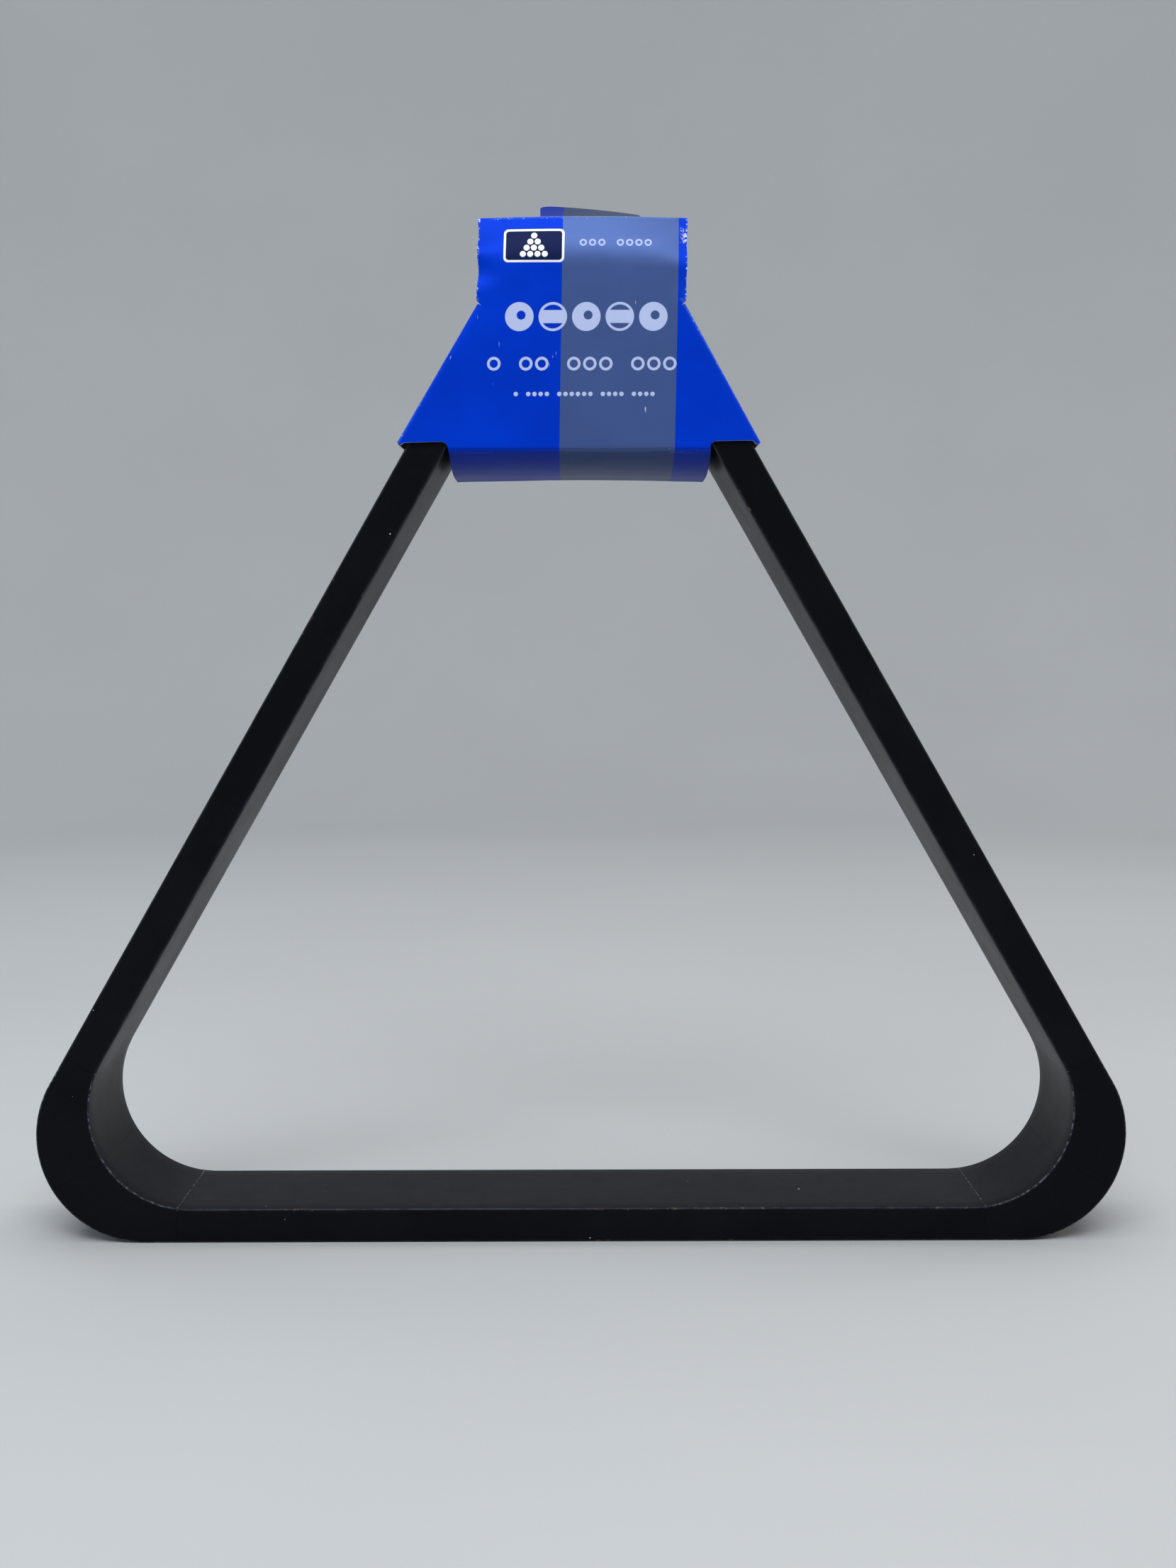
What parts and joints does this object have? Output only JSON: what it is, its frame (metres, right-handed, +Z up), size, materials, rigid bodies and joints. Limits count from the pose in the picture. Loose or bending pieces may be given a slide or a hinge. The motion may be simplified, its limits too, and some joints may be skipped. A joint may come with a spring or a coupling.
{
  "type": "billiard ball triangle rack",
  "caption": "Upright black wooden triangle rack for pool balls, with round corner blocks and a folded printed card sleeve round its apex.",
  "frame": {"origin": "on the surface that the base rail stands on, midway along the rail and midway through the rack's depth", "axes": "+X along the base rail to the right as seen from the front, +Y through the rack from its front face to its back face, +Z up to the apex"},
  "size_m": [0.3186, 0.0406, 0.301],
  "materials": {
    "black_paint": "satin black paint on close-grained hardwood",
    "beech": "bare turned beech",
    "birch_ply": "bare thin plywood",
    "printed_card": "coated card printed blue with a grey band, pale inside"
  },
  "bodies": {
    "rack": {"rail_base": "black_paint", "rail_left": "black_paint", "rail_right": "black_paint", "corner_right_lower": "black_paint", "corner_left_lower": "black_paint", "corner_left_upper": "black_paint", "corner_top_left": "black_paint", "corner_top_right": "black_paint", "corner_right_upper": "black_paint", "dowel_right_lower_front": "beech", "dowel_right_lower_back": "beech", "dowel_left_lower_front": "beech", "dowel_left_lower_back": "beech", "dowel_left_upper_front": "beech", "dowel_left_upper_back": "beech", "dowel_top_left_front": "beech", "dowel_top_left_back": "beech", "dowel_top_right_front": "beech", "dowel_top_right_back": "beech", "dowel_right_upper_front": "beech", "dowel_right_upper_back": "beech", "spline_top": "birch_ply", "spline_right": "birch_ply", "spline_left": "birch_ply"},
    "sleeve": {"card_sleeve": "printed_card"},
    "tongue": {"top_tongue": "printed_card"}
  },
  "joints": [
    {"name": "sleeve_lift", "type": "slide", "parent": "rack", "child": "sleeve", "axis": [0, 0, 1], "range_m": [0, 0.0015]},
    {"name": "tongue_fold", "type": "hinge", "parent": "sleeve", "child": "tongue", "pos_m": [0, -0.01635, 0.29457], "axis": [1, 0, 0], "range_deg": [-18, 72], "stiffness_Nm_per_rad": 0.003}
  ]
}
